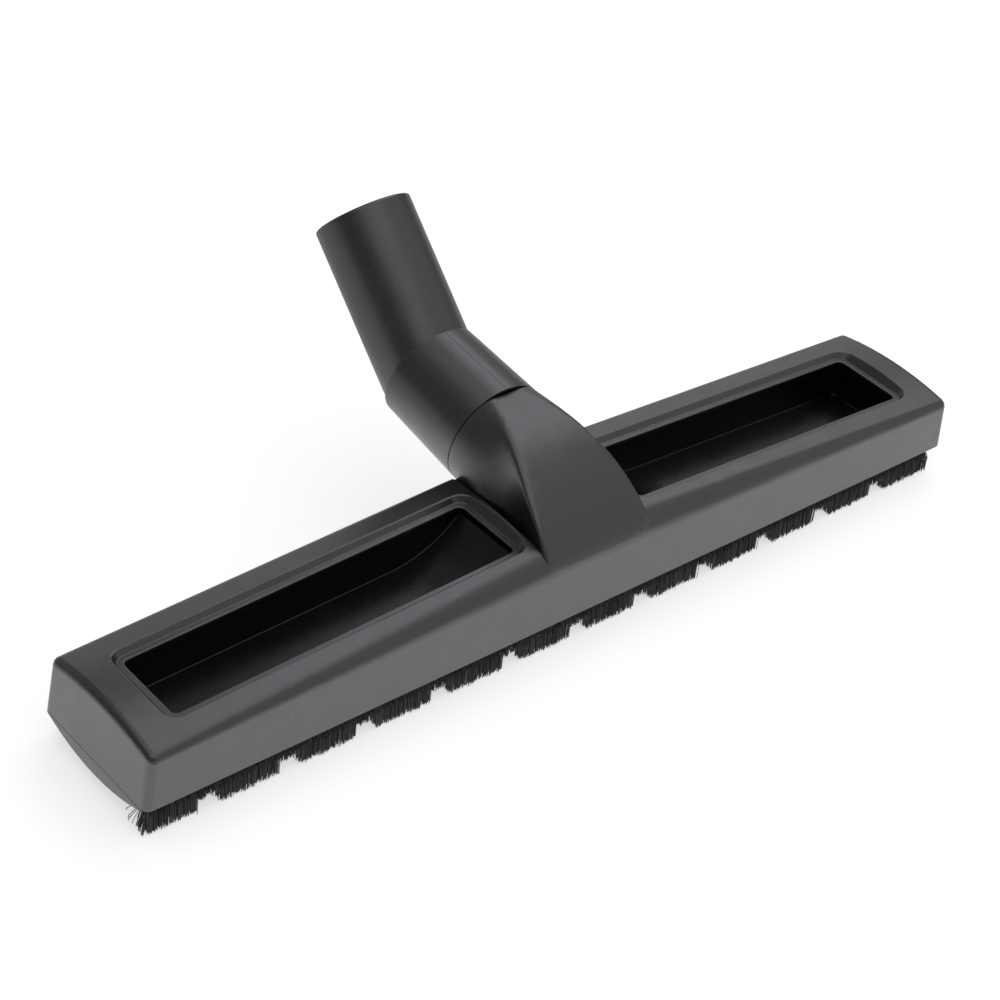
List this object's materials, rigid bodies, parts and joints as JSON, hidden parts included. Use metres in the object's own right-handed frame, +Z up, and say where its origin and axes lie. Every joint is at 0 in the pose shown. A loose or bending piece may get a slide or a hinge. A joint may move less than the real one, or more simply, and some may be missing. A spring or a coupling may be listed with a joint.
{
  "type": "vacuum floor brush head",
  "caption": "Wide floor brush head for a vacuum cleaner: crowned housing with open pockets, notched bristle strips, end rollers and a swivelling elbow with a wand socket.",
  "frame": {"origin": "on the floor, under the middle of the part's bounding box", "axes": "+X along the head, +Y from the head towards the wand socket, +Z up from the floor"},
  "size_m": [0.36, 0.1508, 0.1048],
  "materials": {
    "housing_plastic": "fine moulded texture, satin",
    "elbow_plastic": "fine moulded texture, satin",
    "sole_plastic": "smooth moulded, satin",
    "brush_back_plastic": "smooth moulded",
    "bristle_nylon": "drawn filament",
    "roller_plastic": "smooth moulded",
    "steel": "plated"
  },
  "bodies": {
    "head": {"head_housing": "housing_plastic", "sole_plate": "sole_plastic", "sole_screws": "steel", "left_roller_axle": "steel", "right_roller_axle": "steel", "front_brush_back": "brush_back_plastic", "rear_brush_back": "brush_back_plastic", "front_bristles_01": "bristle_nylon", "front_bristles_02": "bristle_nylon", "front_bristles_03": "bristle_nylon", "front_bristles_04": "bristle_nylon", "front_bristles_05": "bristle_nylon", "front_bristles_06": "bristle_nylon", "front_bristles_07": "bristle_nylon", "front_bristles_08": "bristle_nylon", "front_bristles_09": "bristle_nylon", "front_bristles_10": "bristle_nylon", "front_bristles_11": "bristle_nylon", "front_bristles_12": "bristle_nylon", "rear_bristles_01": "bristle_nylon", "rear_bristles_02": "bristle_nylon", "rear_bristles_03": "bristle_nylon", "rear_bristles_04": "bristle_nylon", "rear_bristles_05": "bristle_nylon", "rear_bristles_06": "bristle_nylon", "rear_bristles_07": "bristle_nylon", "rear_bristles_08": "bristle_nylon", "rear_bristles_09": "bristle_nylon", "rear_bristles_10": "bristle_nylon", "rear_bristles_11": "bristle_nylon", "rear_bristles_12": "bristle_nylon", "front_short_bristles": "bristle_nylon", "rear_short_bristles": "bristle_nylon"},
    "elbow": {"swivel_elbow": "elbow_plastic"},
    "left_roller": {"left_roller": "roller_plastic"},
    "right_roller": {"right_roller": "roller_plastic"}
  },
  "joints": [
    {"name": "elbow_swivel", "type": "hinge", "parent": "head", "child": "elbow", "pos_m": [0, -0.01729, 0.0466], "axis": [0, 0.9905, 0.1374], "continuous": true},
    {"name": "left_roller_spin", "type": "hinge", "parent": "head", "child": "left_roller", "pos_m": [-0.17303, -0.04739, 0.0093], "axis": [1, 0, 0], "continuous": true},
    {"name": "right_roller_spin", "type": "hinge", "parent": "head", "child": "right_roller", "pos_m": [0.17303, -0.04739, 0.0093], "axis": [1, 0, 0], "continuous": true}
  ]
}
